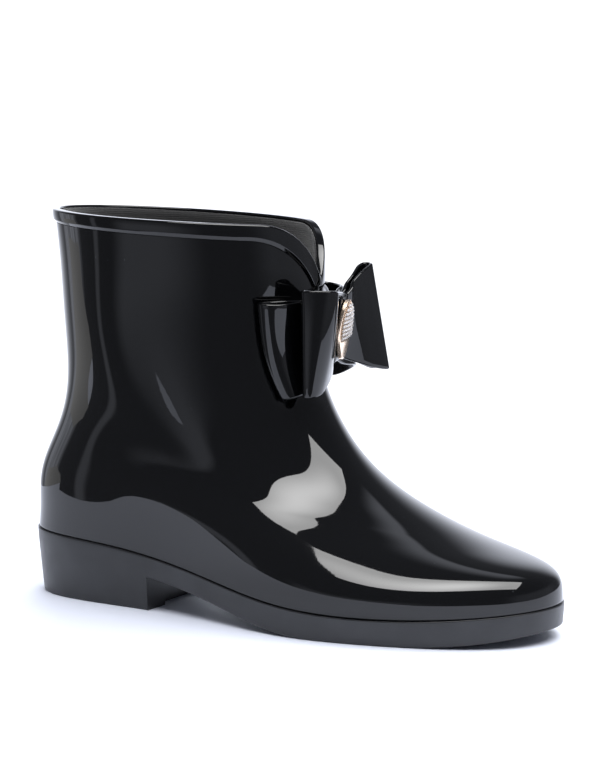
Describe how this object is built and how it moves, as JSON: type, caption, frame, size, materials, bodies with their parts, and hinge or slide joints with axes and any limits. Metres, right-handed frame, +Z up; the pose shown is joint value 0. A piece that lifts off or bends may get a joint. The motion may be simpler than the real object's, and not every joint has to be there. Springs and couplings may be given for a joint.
{
  "type": "rain boot",
  "caption": "Short glossy rubber rain boot for the right foot, with a low block heel, a notched rim with a raised band, and a bow with a jewelled clasp on the front.",
  "frame": {"origin": "on the ground under the middle of the boot's bounding box", "axes": "+X from heel to toe, +Y to the inner (medial) side of the foot, +Z up; the sole stands on Z = 0"},
  "size_m": [0.2636, 0.1024, 0.1814],
  "materials": {
    "upper_pvc": "high gloss moulded PVC",
    "trim_pvc": "high gloss",
    "sole_rubber": "satin gloss",
    "lining_knit": "matt brushed knit",
    "footbed_foam": "matt foam",
    "footbed_fabric": "matt textile",
    "bow_pvc": "high gloss",
    "clasp_gold": "polished champagne gold plating",
    "crystal": "cut clear stones",
    "rivet_steel": "bright nickel plating"
  },
  "bodies": {
    "boot": {"upper_shell": "upper_pvc", "collar_trim": "trim_pvc", "outsole_heel": "sole_rubber", "lining_sock": "lining_knit", "bow_rear_strip": "bow_pvc", "bow_front_strip": "bow_pvc", "bow_centre_wrap": "bow_pvc", "clasp_plate": "clasp_gold", "stone_row_1": "crystal", "stone_row_2": "crystal", "stone_row_3": "crystal", "stone_row_4": "crystal", "stone_row_5": "crystal", "stone_row_6": "crystal", "stone_row_7": "crystal", "stone_row_8": "crystal", "stone_row_9": "crystal", "bow_rivet": "rivet_steel", "rivet_washer": "rivet_steel"},
    "footbed": {"footbed_foam": "footbed_foam", "footbed_cover": "footbed_fabric"}
  },
  "joints": [
    {"name": "footbed_peel", "type": "hinge", "parent": "boot", "child": "footbed", "pos_m": [0.124, 0.004, 0.019], "axis": [0, 1, 0], "range_deg": [0, 6]}
  ]
}
